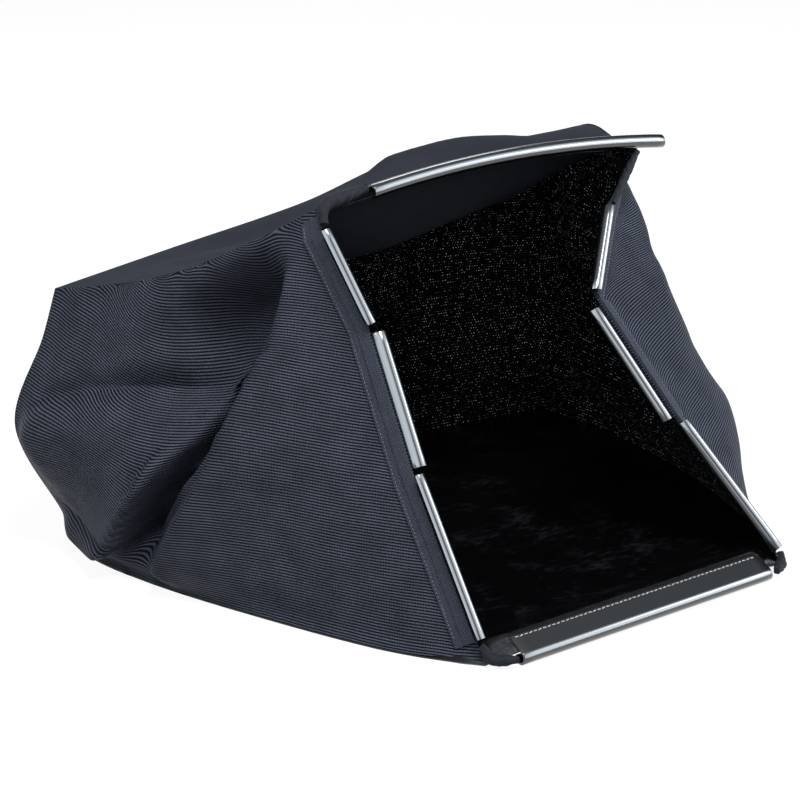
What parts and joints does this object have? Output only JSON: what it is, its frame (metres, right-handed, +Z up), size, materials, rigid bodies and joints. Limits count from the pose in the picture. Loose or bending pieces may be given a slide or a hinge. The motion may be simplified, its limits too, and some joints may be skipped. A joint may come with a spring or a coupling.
{
  "type": "mower grass bag",
  "caption": "Soft fabric grass bag with a vinyl base and a slanted open mouth edged with plastic clips that push onto a wire frame.",
  "frame": {"origin": "middle of the bounding box, on the floor that the bag lies on", "axes": "+Z up, the open mouth faces -Y and leans back, X runs across the mouth"},
  "size_m": [0.6896, 0.5408, 0.3716],
  "materials": {
    "ribbed_cloth": "ribbed woven polyester, faint sheen",
    "smooth_cloth": "smooth matte coated cloth",
    "vinyl": "glossy vinyl-coated cloth, scuffed",
    "binding_tape": "ribbed binding tape",
    "clip_plastic": "glossy extruded plastic"
  },
  "bodies": {
    "root": {"left_side_panel": "ribbed_cloth", "right_side_panel": "ribbed_cloth", "rear_panel": "ribbed_cloth", "top_panel": "smooth_cloth", "bottom_panel": "vinyl", "left_mouth_hem": "ribbed_cloth", "right_mouth_hem": "ribbed_cloth", "left_edge_tape": "binding_tape", "right_edge_tape": "binding_tape", "top_mouth_facing": "smooth_cloth", "left_lower_clip": "clip_plastic", "left_middle_clip": "clip_plastic", "left_upper_clip": "clip_plastic", "right_lower_clip": "clip_plastic", "right_middle_clip": "clip_plastic", "right_upper_clip": "clip_plastic", "top_clip": "clip_plastic", "bottom_clip": "clip_plastic", "top_left_corner_gather": "binding_tape", "top_right_corner_strap": "binding_tape", "bottom_left_corner_binding": "binding_tape", "bottom_right_corner_binding": "binding_tape"}
  },
  "joints": []
}
